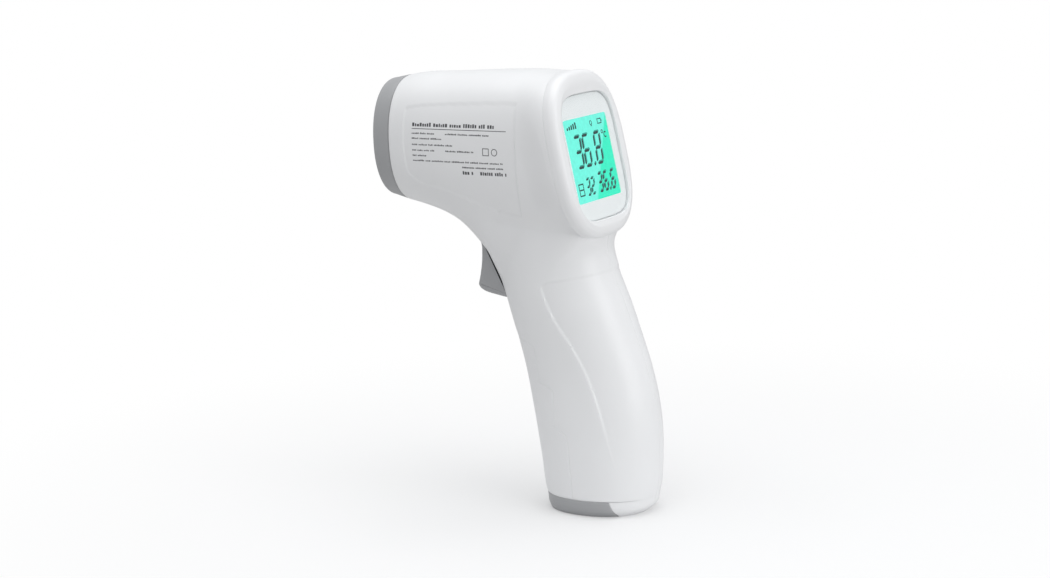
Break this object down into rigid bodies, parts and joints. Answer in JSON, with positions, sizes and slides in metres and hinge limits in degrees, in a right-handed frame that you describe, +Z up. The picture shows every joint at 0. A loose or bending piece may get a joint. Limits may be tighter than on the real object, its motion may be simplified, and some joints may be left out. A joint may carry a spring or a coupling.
{
  "type": "infrared forehead thermometer",
  "caption": "Pistol-shaped handheld infrared thermometer with a rear display, a trigger, an oval sensor nose and a hinged battery door.",
  "frame": {"origin": "centre of the handle's flat foot, in the parting plane between the two shells", "axes": "+Z up the handle, -X the way the nose points, +X the way the display faces, +Y the user's right"},
  "size_m": [0.1035, 0.0476, 0.1572],
  "materials": {
    "white_plastic": "white moulded plastic, satin gloss",
    "grey_plastic": "mid grey moulded plastic, satin",
    "mask_print": "white print behind the window",
    "clear_window": "clear polished acrylic",
    "gasket_rubber": "dark soft rubber",
    "black_plastic": "black moulded plastic",
    "gold_cup": "gold-coloured polished reflector",
    "sensor_metal": "bright metal can",
    "sensor_glass": "dark infrared filter",
    "block_metal": "machined aluminium",
    "circuit_board": "green solder mask",
    "screw_steel": "plain bright steel",
    "lcd_glass": "liquid-crystal cell",
    "backlight": "lit cyan-green light guide",
    "frame_plastic": "white carrier frame",
    "membrane_rubber": "pale silicone",
    "red_plastic": "red moulded plastic",
    "cell_jacket": "plain blue cell jacket",
    "red_wire": "red insulation",
    "black_wire": "black insulation"
  },
  "bodies": {
    "body": {"left_shell": "white_plastic", "right_shell": "white_plastic", "nose_ring": "grey_plastic", "rear_bezel": "white_plastic", "window_mask": "mask_print", "display_window": "clear_window", "window_gasket": "gasket_rubber", "sensor_cone": "black_plastic", "reflector_cup": "gold_cup", "thermopile_can": "sensor_metal", "thermopile_window": "sensor_glass", "sensor_block": "block_metal", "sensor_board": "circuit_board", "sensor_screws": "screw_steel", "lcd_glass": "lcd_glass", "backlight_plate": "backlight", "lcd_frame": "frame_plastic", "zebra_strip": "gasket_rubber", "main_board": "circuit_board", "board_chips": "black_plastic", "buzzer": "black_plastic", "board_screws": "screw_steel", "key_board": "circuit_board", "keypad_membrane": "membrane_rubber", "trigger_pin": "screw_steel", "trigger_spring": "screw_steel", "trigger_switch": "black_plastic", "battery_tray": "black_plastic", "battery_left": "cell_jacket", "battery_right": "cell_jacket", "battery_springs": "screw_steel", "battery_contacts": "screw_steel", "bridge_contact": "screw_steel", "battery_wires": "red_wire", "sensor_cable": "black_wire", "shell_screws": "screw_steel"},
    "trigger": {"trigger": "grey_plastic"},
    "plunger": {"switch_plunger": "red_plastic"},
    "battery_door": {"battery_door": "white_plastic", "door_foot": "grey_plastic"},
    "key_mode": {"key_mode": "grey_plastic"},
    "key_up": {"key_up": "grey_plastic"},
    "key_down": {"key_down": "grey_plastic"}
  },
  "joints": [
    {"name": "trigger_pivot", "type": "hinge", "parent": "body", "child": "trigger", "pos_m": [-0.033, 0, 0.0936], "axis": [0, -1, 0], "range_deg": [0, 6], "stiffness_Nm_per_rad": 0.02, "deforming": ["trigger_spring"]},
    {"name": "plunger_slide", "type": "slide", "parent": "body", "child": "plunger", "axis": [1, 0, 0], "range_m": [0, 0.0014]},
    {"name": "door_hinge", "type": "hinge", "parent": "body", "child": "battery_door", "pos_m": [-0.0289, 0, 0.0621], "axis": [0, 1, 0], "range_deg": [0, 50]},
    {"name": "key_mode_press", "type": "slide", "parent": "body", "child": "key_mode", "axis": [0, -1, 0], "range_m": [0, 0.0008]},
    {"name": "key_up_press", "type": "slide", "parent": "body", "child": "key_up", "axis": [0, -1, 0], "range_m": [0, 0.0008]},
    {"name": "key_down_press", "type": "slide", "parent": "body", "child": "key_down", "axis": [0, -1, 0], "range_m": [0, 0.0008]}
  ],
  "couplings": [
    {"joint": "plunger_slide", "follows": "trigger_pivot", "m_per_rad": 0.0116}
  ]
}
